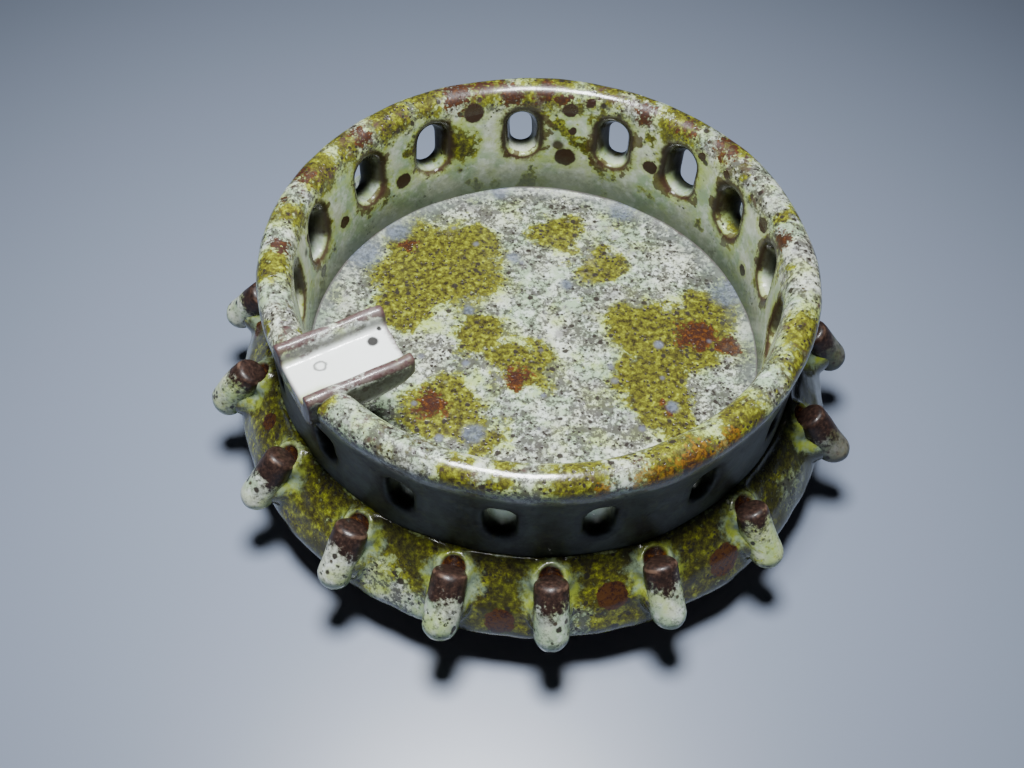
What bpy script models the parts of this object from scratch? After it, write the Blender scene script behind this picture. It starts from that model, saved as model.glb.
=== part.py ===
"""Glazed stoneware dish: pierced gallery wall, spiked shoulder and a rest laid across the rim.

The dish stands on its foot at z = 0, centred on the Z axis. Lengths are written in millimetres
and turned into metres by MM. Every joint between two pieces keeps GAP of clearance.
"""
import math

import bmesh
import bpy
from mathutils import Matrix, Vector

MM = 0.001
GAP = 0.3
SEGMENTS = 68

# Foot and floor
FOOT_R = 55.0
FOOT_INNER_R = 47.0
FOOT_HEIGHT = 14.7
FOOT_EDGE = 1.2
COVE = ((4.2, 8.0), (1.2, 4.0))
FLOOR_Z = 26.5
BASE_Z = FOOT_HEIGHT + GAP
RECESS_Z = 18.0
LEDGE_Z = 22.0

# Wall and rim
WALL_INNER_R = 56.0
WALL_OUTER_R = 64.0
RIM_Z = 53.2
RIM_TOP_Z = 59.3
RIM_INNER_R = 56.9
RIM_OUTER_R = 65.1
TONGUE_INNER_R = 59.0
TONGUE_OUTER_R = 62.0
TONGUE_HEIGHT = 2.0
TONGUE_TAPER = 0.3
RIM_CORNER_R = 1.8

# Slots, cut where the eye spaced them (degrees round from +X)
SLOT_WIDTH = 8.4
SLOT_HEIGHT = 15.2
SLOT_Z = 44.3
SLOT_ANGLES = (9, 31, 50, 70, 95, 120, 141, 164, 184, 204, 225, 244, 264, 283, 305, 328, 350)

# Shoulder ring
SHOULDER_R = 75.0
SHOULDER_EDGE_Z = 14.0
SHOULDER_BASE_Z = 10.0
NECK_Z = 28.0
SLOPE = ((68.8, 25.2), (72.0, 21.0))
EDGE_R = 4.0

# Pegs, laid down the slope of the shoulder
PEG_R = 4.1
PEG_LENGTH = 16.5
PEG_TILT = 51.0
PEG_TIP_R = 77.2
PEG_TIP_Z = 20.3
PEG_BEVEL = 0.5
PEG_ANGLES = (3, 24, 45, 66, 87, 109, 130, 151, 172, 193, 215, 236, 256, 274, 294, 315, 341)
PIT_R = 3.4
PIT_AT_R = 68.0
PIT_AT_Z = 29.2
HUMP_R = 4.6
HUMP_AT_R = 66.9
HUMP_AT_Z = 26.0

# Rest: a U-shaped trough let into the rim
REST_ANGLE = 211.0
REST_OFFSET = 6.8
REST_OUTER_R = 64.4
REST_LENGTH = 24.8
REST_WIDTH = 18.6
REST_BOTTOM_Z = 49.6
REST_TOP_Z = 59.8
GROOVE_WIDTH = 12.4
GROOVE_Z = 55.3
REST_CORNER_R = 4.5
GROOVE_CORNER_R = 1.5
NOSE_DROP = 3.0
NOSE_RUN = 6.0

PALE_GLAZE = (0.66, 0.71, 0.62)
OLIVE_GLAZE = (0.42, 0.43, 0.13)
BROWN_GLAZE = (0.20, 0.09, 0.05)
BARE_CLAY = (0.36, 0.27, 0.20)


def fresh_scene():
    """Empty the scene and make one collection for the parts and one for the cutters."""
    for old in list(bpy.data.objects):
        bpy.data.objects.remove(old, do_unlink=True)
    made = []
    for title in ("stoneware_dish", "cutters"):
        group = bpy.data.collections.new(title)
        bpy.context.scene.collection.children.link(group)
        made.append(group)
    return made


def glaze(title, colour, roughness):
    """A plain Principled material."""
    made = bpy.data.materials.new(title)
    made.use_nodes = True
    shader = made.node_tree.nodes["Principled BSDF"]
    shader.inputs["Base Color"].default_value = (*colour, 1.0)
    shader.inputs["Roughness"].default_value = roughness
    shader.inputs["Metallic"].default_value = 0.0
    return made


def add_object(title, mesh, group, material=None):
    """Link a mesh into the scene under its own name."""
    made = bpy.data.objects.new(title, mesh)
    group.objects.link(made)
    if material:
        mesh.materials.append(material)
    return made


def mesh_from(bm, title):
    """Turn a bmesh into smooth-shaded mesh data with its faces pointing out."""
    bm.normal_update()
    bmesh.ops.recalc_face_normals(bm, faces=bm.faces)
    mesh = bpy.data.meshes.new(title)
    bm.to_mesh(mesh)
    bm.free()
    mesh.shade_smooth()
    mesh.set_sharp_from_angle(angle=math.radians(40))
    return mesh


def corner(radius, at_r, at_z, first, last, points=3):
    """Points of a rounded corner about (at_r, at_z), from one angle to another in degrees."""
    found = []
    for step in range(points):
        angle = math.radians(first + (last - first) * step / (points - 1))
        found.append((at_r + radius * math.cos(angle), at_z + radius * math.sin(angle)))
    return found


def turned(title, profile, group, material=None, closed=True):
    """Turn a profile, given clockwise as (radius, height), about the Z axis with a Screw."""
    count = len(profile)
    edges = [(i, i + 1) for i in range(count - 1)]
    if closed:
        edges.append((count - 1, 0))
    mesh = bpy.data.meshes.new(title)
    mesh.from_pydata([(r * MM, 0.0, z * MM) for r, z in profile], edges, [])
    made = add_object(title, mesh, group, material)
    screw = made.modifiers.new("turn", "SCREW")
    screw.axis = "Z"
    screw.angle = math.radians(360)
    screw.steps = SEGMENTS
    screw.render_steps = SEGMENTS
    screw.use_merge_vertices = True
    screw.merge_threshold = 0.00001
    screw.use_smooth_shade = True
    return made


def round_about(angle):
    """A turn about the Z axis, in degrees."""
    return Matrix.Rotation(math.radians(angle), 4, "Z")


def cutter(title, bm, group):
    """A hidden tool shape for a Boolean."""
    made = add_object(title, mesh_from(bm, title), group)
    made.hide_render = True
    made.display_type = "WIRE"
    return made


def boolean(made, tool, operation="DIFFERENCE"):
    """Cut a piece by a tool shape, or join one to it."""
    step = made.modifiers.new(tool.name, "BOOLEAN")
    step.operation = operation
    step.object = tool
    step.solver = "EXACT"


def peg_frame(angle):
    """Place and direction of a peg: its own +Z runs from the cut end to the round tip."""
    tilt = math.radians(PEG_TILT)
    axis = Vector((math.cos(tilt), 0.0, -math.sin(tilt)))
    tip = Vector((PEG_TIP_R * MM, 0.0, PEG_TIP_Z * MM))
    turn = axis.to_track_quat("Z", "Y").to_matrix().to_4x4()
    return round_about(angle) @ Matrix.Translation(tip) @ turn


def slot_tools(group):
    """One upright oblong prism for each slot, long enough to pass through the wall."""
    bm = bmesh.new()
    stretch = (SLOT_HEIGHT - SLOT_WIDTH) / 2 * MM
    lay = Matrix.Rotation(math.radians(90), 4, "Y")
    for angle in SLOT_ANGLES:
        ends = bmesh.ops.create_cone(
            bm, cap_ends=True, segments=12, radius1=SLOT_WIDTH / 2 * MM,
            radius2=SLOT_WIDTH / 2 * MM, depth=14 * MM,
            matrix=lay @ Matrix.Rotation(math.radians(15), 4, "Z"))["verts"]
        for vert in ends:
            vert.co.z += stretch if vert.co.z > 0 else -stretch
        middle = Vector(((WALL_INNER_R + WALL_OUTER_R) / 2 * MM, 0.0, SLOT_Z * MM))
        bmesh.ops.transform(
            bm, verts=ends, matrix=round_about(angle) @ Matrix.Translation(middle))
    return cutter("slot_tools", bm, group)


def seat_tools(group):
    """A bed for each peg: its own bar, larger by the joint's gap and open past the tip."""
    bm = bmesh.new()
    length = PEG_LENGTH + 8.0
    for angle in PEG_ANGLES:
        middle = Matrix.Translation((0, 0, (4.0 - (PEG_LENGTH - PEG_R) / 2) * MM))
        bmesh.ops.create_cone(
            bm, cap_ends=True, segments=12, radius1=(PEG_R + GAP) * MM,
            radius2=(PEG_R + GAP) * MM, depth=length * MM, matrix=peg_frame(angle) @ middle)
    return cutter("seat_tools", bm, group)


def round_tools(title, radius, at_r, at_z, group):
    """A small ball at the upper end of every peg."""
    bm = bmesh.new()
    for angle in PEG_ANGLES:
        place = Matrix.Translation((at_r * MM, 0, at_z * MM))
        bmesh.ops.create_uvsphere(
            bm, u_segments=10, v_segments=6, radius=radius * MM,
            matrix=round_about(angle) @ place)
    return cutter(title, bm, group)


def bore_tool(group):
    """The space that the wall and the base take inside the shoulder ring."""
    bm = bmesh.new()
    radius = (WALL_OUTER_R + GAP) * MM
    bmesh.ops.create_cone(
        bm, cap_ends=True, segments=SEGMENTS, radius1=radius, radius2=radius, depth=80 * MM)
    return cutter("bore_tool", bm, group)


def rest_outline(grow=0.0, groove=True):
    """Cross-section of the trough as (across, height), or its solid outline grown for a cutter."""
    half = REST_WIDTH / 2 + grow
    low = REST_BOTTOM_Z - grow
    top = REST_TOP_Z + grow
    inner = GROOVE_WIDTH / 2
    lip = (half - inner) / 2
    points = corner(REST_CORNER_R, half - REST_CORNER_R, low + REST_CORNER_R, -90, 0, 4)
    if groove:
        points += corner(lip, half - lip, top - lip, 0, 180, 5)
        points += corner(
            GROOVE_CORNER_R, inner - GROOVE_CORNER_R, GROOVE_Z + GROOVE_CORNER_R, 0, -90, 3)
    else:
        points += [(half, top + 10)]
    return points + [(-across, height) for across, height in reversed(points)]


def rest_frame():
    """The trough's own +X runs outwards along it from the middle of the dish."""
    return round_about(REST_ANGLE) @ Matrix.Translation((0, REST_OFFSET * MM, 0))


def rest_solid(start, stop, outline, drop=0.0):
    """Run the trough's outline from one distance to another, easing the underside up at start."""
    bm = bmesh.new()
    verts = [bm.verts.new((stop * MM, across * MM, height * MM)) for across, height in outline]
    edges = list(bm.faces.new(verts).edges)
    stations = (stop, start + NOSE_RUN, start + NOSE_RUN / 4, start)
    lifts = (0.0, 0.0, 0.35 * drop, drop)
    low = (REST_BOTTOM_Z + REST_CORNER_R + 0.1) * MM
    for place, lift in zip(stations[1:], lifts[1:]):
        moved = bmesh.ops.extrude_edge_only(bm, edges=edges)["geom"]
        edges = [item for item in moved if isinstance(item, bmesh.types.BMEdge)
                 and all(vert in moved for vert in item.verts)]
        for vert in {vert for edge in edges for vert in edge.verts}:
            vert.co.x = place * MM
            if vert.co.z < low:
                vert.co.z += lift * MM
    bmesh.ops.contextual_create(bm, geom=edges)
    bm.transform(rest_frame())
    return bm


def make_foot(group, material):
    """Turned foot ring with a cove under the shoulder and a bevelled standing edge."""
    out = WALL_OUTER_R
    profile = [
        (FOOT_INNER_R, FOOT_HEIGHT), (out, FOOT_HEIGHT), (out, SHOULDER_BASE_Z + 1.6),
        *[(FOOT_R + flare, height) for flare, height in COVE], (FOOT_R, FOOT_EDGE),
        (FOOT_R - 1.0, 0.0), (FOOT_INNER_R + 1.0, 0.0), (FOOT_INNER_R, FOOT_EDGE)]
    return turned("foot_ring", profile, group, material)


def make_base(group, material):
    """Thrown base: the dish's floor, with a ledge round it that the wall stands on."""
    side = WALL_OUTER_R
    floor = WALL_INNER_R - GAP
    profile = [
        (0.0, FLOOR_Z), (floor - 1.2, FLOOR_Z), (floor, FLOOR_Z - 0.8), (floor, LEDGE_Z),
        (side, LEDGE_Z), (side, BASE_Z), (FOOT_INNER_R, BASE_Z),
        (FOOT_INNER_R - 3.0, RECESS_Z), (0.0, RECESS_Z)]
    return turned("base_dish", profile, group, material, closed=False)


def make_wall(group, material, slots, rest_tool):
    """Gallery wall with a tongue along its top, pierced by slots and notched for the rest."""
    top = RIM_Z - GAP
    profile = [
        (WALL_INNER_R, top), (TONGUE_INNER_R, top), (TONGUE_INNER_R + TONGUE_TAPER, top + TONGUE_HEIGHT),
        (TONGUE_OUTER_R - TONGUE_TAPER, top + TONGUE_HEIGHT), (TONGUE_OUTER_R, top),
        (WALL_OUTER_R, top),
        (WALL_OUTER_R, LEDGE_Z + GAP), (WALL_INNER_R, LEDGE_Z + GAP)]
    wall = turned("gallery_wall", profile, group, material)
    boolean(wall, slots)
    boolean(wall, rest_tool)
    return wall


def make_rim(group, material, rest_tool):
    """Rolled rim, grooved underneath to sit on the wall's tongue."""
    middle = (RIM_INNER_R + RIM_OUTER_R) / 2
    half = (RIM_OUTER_R - RIM_INNER_R) / 2
    groove_z = RIM_Z + TONGUE_HEIGHT
    profile = corner(half, middle, RIM_TOP_Z - half, 180, 0, 9)
    profile += corner(RIM_CORNER_R, RIM_OUTER_R - RIM_CORNER_R, RIM_Z + RIM_CORNER_R, 0, -90, 3)
    profile += [
        (TONGUE_OUTER_R + GAP, RIM_Z), (TONGUE_OUTER_R, groove_z + GAP),
        (TONGUE_INNER_R, groove_z + GAP), (TONGUE_INNER_R - GAP, RIM_Z),
        (RIM_INNER_R + 0.6, RIM_Z), (RIM_INNER_R, RIM_Z + 1.0)]
    rim = turned("rolled_rim", profile, group, material)
    boolean(rim, rest_tool)
    return rim


def make_shoulder(group, material, tools):
    """Sloping shoulder ring with a hump, a pit and a bed for every peg."""
    bore = WALL_OUTER_R - 1.0
    profile = [(bore, NECK_Z + 0.3), (WALL_OUTER_R + 2.2, NECK_Z), *SLOPE]
    profile += corner(EDGE_R, SHOULDER_R - EDGE_R, SHOULDER_EDGE_Z, 35, -90, 6)
    profile += [(WALL_OUTER_R + 2.0, SHOULDER_BASE_Z), (bore, SHOULDER_BASE_Z + 1.2)]
    shoulder = turned("shoulder_ring", profile, group, material)
    humps, bore_cut, seats, pits = tools
    boolean(shoulder, humps, "UNION")
    boolean(shoulder, bore_cut)
    boolean(shoulder, seats)
    boolean(shoulder, pits)
    return shoulder


def make_rest(group, material):
    """U-shaped trough that crosses the rim and overhangs the dish."""
    start = REST_OUTER_R - REST_LENGTH
    bm = rest_solid(start, REST_OUTER_R, rest_outline(), NOSE_DROP)
    return add_object("rest_trough", mesh_from(bm, "rest_trough"), group, material)


def make_pegs(group, material):
    """Round-tipped pegs, all from one mesh: a bar with a ball end and a softened cut end."""
    bm = bmesh.new()
    around = 12
    body = PEG_LENGTH - PEG_R
    bmesh.ops.create_cone(
        bm, cap_ends=True, segments=around, radius1=PEG_R * MM, radius2=PEG_R * MM,
        depth=body * MM, matrix=Matrix.Translation((0, 0, -body / 2 * MM)))
    tip = [face for face in bm.faces if face.normal.z > 0.9][0]
    cut_end = [face for face in bm.faces if face.normal.z < -0.9][0]
    bmesh.ops.bevel(
        bm, geom=list(cut_end.edges), offset=PEG_BEVEL * MM, segments=1, profile=0.5,
        affect="EDGES", material=-1)
    for lift in (30, 60):
        before = math.radians(lift - 30)
        after = math.radians(lift)
        moved = bmesh.ops.extrude_face_region(bm, geom=[tip])
        bmesh.ops.delete(bm, geom=[tip], context="FACES_ONLY")
        tip = [item for item in moved["geom"] if isinstance(item, bmesh.types.BMFace)][0]
        rise = (math.sin(after) - math.sin(before)) * PEG_R * MM
        ratio = math.cos(after) / math.cos(before)
        bmesh.ops.translate(bm, verts=tip.verts, vec=(0, 0, rise))
        bmesh.ops.scale(bm, verts=tip.verts, vec=(ratio, ratio, 1))
    peak = bmesh.ops.poke(bm, faces=[tip])["verts"]
    bmesh.ops.translate(
        bm, verts=peak, vec=(0, 0, (1 - math.sin(math.radians(60))) * PEG_R * MM))
    mesh = mesh_from(bm, "peg")
    mesh.materials.append(material)
    for number, angle in enumerate(PEG_ANGLES, start=1):
        peg = add_object(f"peg_{number:02d}", mesh, group)
        peg.matrix_world = peg_frame(angle)


def main():
    parts, cutters = fresh_scene()
    pale = glaze("pale_glaze", PALE_GLAZE, 0.18)
    olive = glaze("olive_glaze", OLIVE_GLAZE, 0.2)
    brown = glaze("brown_glaze", BROWN_GLAZE, 0.2)
    clay = glaze("bare_clay", BARE_CLAY, 0.8)

    start = REST_OUTER_R - REST_LENGTH
    rest_bm = rest_solid(start - GAP, REST_OUTER_R + 12, rest_outline(GAP, groove=False))
    rest_tool = cutter("rest_tool", rest_bm, cutters)
    slots = slot_tools(cutters)
    humps = round_tools("hump_tools", HUMP_R, HUMP_AT_R, HUMP_AT_Z, cutters)
    pits = round_tools("pit_tools", PIT_R, PIT_AT_R, PIT_AT_Z, cutters)
    seats = seat_tools(cutters)

    make_foot(parts, clay)
    make_base(parts, olive)
    make_wall(parts, pale, slots, rest_tool)
    make_rim(parts, pale, rest_tool)
    make_shoulder(parts, olive, (humps, bore_tool(cutters), seats, pits))
    make_rest(parts, pale)
    make_pegs(parts, brown)


main()
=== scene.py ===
"""Looks of a glazed stoneware dish: pierced wall, rolled rim, pegged shoulder and a rest in the rim.

Lengths are in millimetres and turned into metres by MM. The Z axis is the wheel's axis. Every CAD
node is replaced by a softened, glazed piece of the same place and size.
"""

import math
import random

import bmesh
import bpy
import numpy as np
from mathutils import Matrix, Vector, noise


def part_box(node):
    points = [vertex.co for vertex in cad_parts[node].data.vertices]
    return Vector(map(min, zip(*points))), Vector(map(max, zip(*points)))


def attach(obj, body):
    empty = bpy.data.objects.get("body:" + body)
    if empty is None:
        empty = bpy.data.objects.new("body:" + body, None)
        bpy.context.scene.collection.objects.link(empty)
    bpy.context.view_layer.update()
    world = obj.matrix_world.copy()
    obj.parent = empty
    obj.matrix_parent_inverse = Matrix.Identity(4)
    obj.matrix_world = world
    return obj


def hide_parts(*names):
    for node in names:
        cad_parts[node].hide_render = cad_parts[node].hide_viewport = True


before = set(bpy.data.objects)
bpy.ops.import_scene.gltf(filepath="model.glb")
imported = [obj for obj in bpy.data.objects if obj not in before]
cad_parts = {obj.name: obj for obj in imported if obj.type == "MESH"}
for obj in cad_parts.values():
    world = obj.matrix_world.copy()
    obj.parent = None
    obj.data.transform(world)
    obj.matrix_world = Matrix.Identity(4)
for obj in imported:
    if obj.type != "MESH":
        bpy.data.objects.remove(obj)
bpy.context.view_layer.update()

MM = 0.001
UP = Vector((0, 0, 1))

# Read from the frame
RIM_TOP_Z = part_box("rolled_rim")[1].z / MM
RIM_OUTER_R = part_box("rolled_rim")[1].y / MM
FLOOR_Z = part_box("base_dish")[1].z / MM
WALL_OUTER_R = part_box("gallery_wall")[1].y / MM
SHOULDER_BASE_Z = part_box("shoulder_ring")[0].z / MM
FOOT_TOP_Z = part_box("foot_ring")[1].z / MM
REST_BOTTOM_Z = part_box("rest_trough")[0].z / MM
REST_TOP_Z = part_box("rest_trough")[1].z / MM
PEG_NAMES = [name for name in sorted(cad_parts) if name.startswith("peg_")]

# Wall and rim
WALL_INNER_R = 56.0
RIM_ROLL_R = 4.1
JOINT_Z = 53.0

# Slots, each a plug through stations of (radius, how much wider than the slot)
SLOT_ANGLES = (9, 31, 50, 70, 95, 120, 141, 164, 184, 204, 225, 244, 264, 283, 305, 328, 350)
SLOT_WIDTH = 8.2
SLOT_HEIGHT = 15.2
SLOT_Z = 45.8
SLOT_SLOPE = 0.38
SLOT_TAPER = 0.14
SLOT_STATIONS = (
    (51.0, 3.4), (55.4, 1.7), (57.0, 0.3), (59.5, -0.5), (62.4, -1.1), (64.4, -0.8), (69.0, 0.4))
FAR_FROM_SLOTS = 12.0

# Rest, along its own axis from the middle of the dish outwards
REST_ANGLE = 211.0
REST_OFFSET = 6.8
REST_START = 39.6
REST_STOP = 64.6
REST_HALF = 9.3
REST_BELLY_R = 4.0
GROOVE_HALF = 6.2
GROOVE_Z = 55.3
GROOVE_CORNER_R = 1.6
NOSE_LENGTH = 8
NOSE_RISE = 3.0
NOTCH_STOP = 76
NOTCH_TOP_Z = 70

# Shoulder
SHOULDER_OUTER_R = 75.0
SHOULDER_EDGE_R = 4.2

# Pegs, with the clay round each one as (radius, height, size) at the peg's own angle
PEG_R = 4.1
PEG_LENGTH = 16.5
PEG_TILT = 51.0
PEG_TIP_R = 77.2
PEG_TIP_Z = 20.3
SWELLINGS = ((66.6, 26.2, (4.6, 5.0, 4.4)), (72.6, 21.0, (5.2, 5.0, 5.6)))
PIT_BALL = (69.4, 0, 30.2)
PIT_OUTWARD = (0.72, 0, 0.69)
PIT_BALL_R = 3.6

# Base and foot
BASE_OUTER_R = WALL_INNER_R + 1.5
BASE_BOTTOM_Z = 15.2
RECESS_TOP_Z = 18.0
FOOT_INNER_R = 47.0
FLOOR_RINGS = 84
SWEEP_START_R = 52.0
SWEEP_WIDTH = 4.0
SWEEP_RISE = 0.8
TOOL_MARKS = 18


def about_z(degrees):
    """A turn about the wheel's axis."""
    return Matrix.Rotation(math.radians(degrees), 4, "Z")


def arc(radius, at_r, at_z, first, last, points):
    """Points of an arc in a turned outline, from one angle to another in degrees."""
    turns = [math.radians(first + (last - first) * k / (points - 1)) for k in range(points)]
    return [(at_r + radius * math.cos(t), at_z + radius * math.sin(t)) for t in turns]


def thrown(outline, steps=180, closed=True):
    """Turn an outline of (radius, height) on the wheel."""
    bm = bmesh.new()
    verts = [bm.verts.new((radius * MM, 0, height * MM)) for radius, height in outline]
    pairs = list(zip(verts, verts[1:]))
    if closed:
        pairs.append((verts[-1], verts[0]))
    edges = [bm.edges.new(pair) for pair in pairs]
    bmesh.ops.spin(bm, geom=verts + edges, cent=(0, 0, 0), axis=UP, dvec=(0, 0, 0),
                   angle=math.tau, steps=steps, use_merge=True)
    bmesh.ops.remove_doubles(bm, verts=bm.verts, dist=0.001 * MM)
    bmesh.ops.recalc_face_normals(bm, faces=bm.faces)
    return bm


def lofted(bm, rings):
    """Skin a row of edge rings and close both ends."""
    for near, far in zip(rings, rings[1:]):
        bmesh.ops.bridge_loops(bm, edges=list(near | far))
    for end in (rings[0], rings[-1]):
        bmesh.ops.contextual_create(bm, geom=list(end))


def as_mesh(name, bm):
    """Turn a bmesh into a mesh and free it."""
    mesh = bpy.data.meshes.new(name)
    bm.to_mesh(mesh)
    bm.free()
    return mesh


def solid(name, bm):
    """Link a bmesh into the scene as an object."""
    made = bpy.data.objects.new(name, as_mesh(name, bm))
    bpy.context.scene.collection.objects.link(made)
    return made


def fired(name, bm, cuts=(), voxel=0.8, soften=8):
    """Cut the clay, then melt its edges together: a fine even skin, smoothed. Returns the mesh."""
    clay = solid(name, bm)
    for tool in cuts:
        cut = clay.modifiers.new(tool.name, "BOOLEAN")
        cut.object = tool
        cut.operation = "DIFFERENCE"
        cut.solver = "EXACT"
    skin = clay.modifiers.new("skin", "REMESH")
    skin.mode = "VOXEL"
    skin.voxel_size = voxel * MM
    melt = clay.modifiers.new("melt", "SMOOTH")
    melt.factor = 0.5
    melt.iterations = soften
    seen = clay.evaluated_get(bpy.context.evaluated_depsgraph_get())
    mesh = bpy.data.meshes.new_from_object(seen)
    bpy.data.objects.remove(clay)
    return mesh


def coordinates(mesh):
    """A mesh's points as an array of metres."""
    found = np.empty(len(mesh.vertices) * 3, np.float32)
    mesh.vertices.foreach_get("co", found)
    return found.reshape(-1, 3)


def normals_of(mesh):
    """A mesh's point normals as an array."""
    found = np.empty(len(mesh.vertices) * 3, np.float32)
    mesh.vertex_normals.foreach_get("vector", found)
    return found.reshape(-1, 3)


def shift_points(mesh, moved):
    """Put a mesh's points at new places, in metres."""
    mesh.vertices.foreach_set("co", np.asarray(moved, np.float32).ravel())
    mesh.update()


def store(mesh, title, values):
    """Keep one number for each point, for the glaze to read."""
    made = mesh.attributes.new(title, "FLOAT", "POINT")
    made.data.foreach_set("value", np.asarray(values, np.float32))


def waver(mesh, amount, size, seed):
    """Push the surface in and out a little, as hands and drying leave it."""
    points = coordinates(mesh)
    shift = Vector((seed * 7.3, seed * 3.1, seed * 5.7))
    waves = []
    for point in points:
        place = Vector(point) / (size * MM)
        waves.append(noise.noise(place + shift) + 0.35 * noise.noise(place / 0.35 - shift))
    shift_points(mesh, points + normals_of(mesh) * np.array(waves)[:, None] * amount * MM)


def scoop(mesh, centre, outward, radius):
    """Press the lower skin of a ball into the surface, against its outward direction."""
    points = coordinates(mesh) / MM
    centre = np.array(centre)
    outward = np.array(outward)
    away = points - centre
    beside = away - np.outer(away @ outward, outward)
    reach = radius ** 2 - (beside ** 2).sum(axis=1)
    inside = (reach > 0) & (np.linalg.norm(away, axis=1) < radius * 1.5)
    skin = centre + beside[inside] - np.sqrt(reach[inside])[:, None] * outward
    deeper = ((points[inside] - skin) @ outward) > 0
    points[np.flatnonzero(inside)[deeper]] = skin[deeper]
    shift_points(mesh, points * MM)


def feel_edges(mesh, spread=4):
    """Store how the surface bends: above 0 on ridges, where glaze runs thin, below 0 in hollows."""
    points = coordinates(mesh) / MM
    count = len(points)
    ends = np.empty(len(mesh.edges) * 2, np.int32)
    mesh.edges.foreach_get("vertices", ends)
    one, two = ends.reshape(-1, 2).T
    normals = normals_of(mesh)
    valence = np.maximum(np.bincount(one, minlength=count) + np.bincount(two, minlength=count), 1)

    def around(values):
        total = np.bincount(one, values[two], count) + np.bincount(two, values[one], count)
        return total / valence

    mean = np.stack([around(points[:, axis]) for axis in range(3)], axis=1)
    pitch = np.mean(np.linalg.norm(points[one] - points[two], axis=1))
    bend = ((points - mean) * normals).sum(axis=1) / pitch ** 2
    for _ in range(spread):
        bend = 0.4 * bend + 0.6 * around(bend)
    store(mesh, "bend", bend)


def keep_radius(mesh):
    """Store each point's distance from the wheel's axis."""
    store(mesh, "radius", np.linalg.norm(coordinates(mesh)[:, :2], axis=1) / MM)


def keep_slot_distance(mesh):
    """Store how far each point of the wall lies outside the nearest slot's outline."""
    x, y, z = (coordinates(mesh) / MM).T
    radius = np.hypot(x, y)
    outwards = radius - WALL_INNER_R
    straight = (SLOT_HEIGHT - SLOT_WIDTH) / 2 - SLOT_TAPER * outwards
    upright = np.maximum(np.abs(z - SLOT_Z + SLOT_SLOPE * outwards) - straight, 0)
    turn = np.degrees(np.arctan2(y, x))
    nearest = np.full(len(x), FAR_FROM_SLOTS)
    for angle in SLOT_ANGLES:
        beside = np.radians((turn - angle + 180) % 360 - 180) * radius
        nearest = np.minimum(nearest, np.hypot(beside, upright) - SLOT_WIDTH / 2)
    store(mesh, "slot", nearest)


def finish(name, mesh, material, node):
    """Make the piece, smooth-shaded, and let it stand for its CAD node."""
    mesh.shade_smooth()
    mesh.materials.clear()
    mesh.materials.append(material)
    piece = bpy.data.objects.new(name, mesh)
    bpy.context.scene.collection.objects.link(piece)
    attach(piece, "root")
    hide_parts(node)


def slot_tools():
    """The slots' waste: oblong plugs that widen towards the inside and slope down outwards."""
    dice = random.Random(4)
    bm = bmesh.new()
    lay = Matrix.Rotation(math.radians(90), 4, "Y")
    for angle in SLOT_ANGLES:
        half = SLOT_WIDTH / 2 + dice.uniform(-0.25, 0.15)
        stretch = SLOT_HEIGHT / 2 - SLOT_WIDTH / 2 + dice.uniform(-0.5, 0.3)
        lean = Matrix.Rotation(math.radians(dice.uniform(-4, 4)), 4, "X")
        rings = []
        for radius, flare in SLOT_STATIONS:
            ring = bmesh.ops.create_circle(bm, segments=28, radius=(half + flare) * MM, matrix=lay)["verts"]
            outwards = radius - WALL_INNER_R
            for vert in ring:
                vert.co.z += math.copysign((stretch - SLOT_TAPER * outwards) * MM, vert.co.z)
            centre = Vector((radius, 0, SLOT_Z - SLOT_SLOPE * outwards)) * MM
            place = about_z(angle) @ Matrix.Translation(centre) @ lean
            bmesh.ops.transform(bm, matrix=place, verts=ring)
            rings.append({edge for vert in ring for edge in vert.link_edges})
        lofted(bm, rings)
    bmesh.ops.recalc_face_normals(bm, faces=bm.faces)
    return solid("slot_tools", bm)


def rest_place():
    """The rest's own +X runs outwards along it."""
    return about_z(REST_ANGLE) @ Matrix.Translation((0, REST_OFFSET * MM, 0))


def run_along(outline, stations):
    """Draw an outline of (across, height) through stations of (along, widen) of the rest."""
    bm = bmesh.new()
    rings = []
    for along, widen in stations:
        ring = [bm.verts.new((along * MM, across * widen * MM, height * MM)) for across, height in outline]
        rings.append({bm.edges.new(pair) for pair in zip(ring, ring[1:] + ring[:1])})
    lofted(bm, rings)
    bmesh.ops.recalc_face_normals(bm, faces=bm.faces)
    return bm


def rest_tool():
    """The notch in wall and rim, a little tighter than the rest so that the clay closes on it."""
    half = REST_HALF - 0.8
    low = REST_BOTTOM_Z + 0.5
    outline = [(-half, low), (half, low), (half, NOTCH_TOP_Z), (-half, NOTCH_TOP_Z)]
    bm = run_along(outline, [(REST_START - 6, 1), (NOTCH_STOP, 1)])
    bm.transform(rest_place())
    return solid("rest_tool", bm)


def clay_wall():
    """Wall and rolled rim as thrown in one go, pierced and notched."""
    outline = [(WALL_INNER_R, 23), (WALL_INNER_R, 34), (WALL_INNER_R + 0.1, 45), (WALL_INNER_R + 0.4, 51)]
    outline += arc(RIM_ROLL_R, RIM_OUTER_R - RIM_ROLL_R, RIM_TOP_Z - RIM_ROLL_R, 180, 0, 14)
    outline += [(WALL_OUTER_R + 0.5, 51.5), (WALL_OUTER_R, 46), (WALL_OUTER_R - 0.2, 36), (WALL_OUTER_R, 20)]
    tools = (slot_tools(), rest_tool())
    mesh = fired("clay_wall", thrown(outline), tools, voxel=0.75, soften=10)
    for tool in tools:
        bpy.data.objects.remove(tool)
    keep_slot_distance(mesh)
    waver(mesh, amount=0.35, size=17, seed=3)
    feel_edges(mesh)
    keep_radius(mesh)
    return mesh


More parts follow.
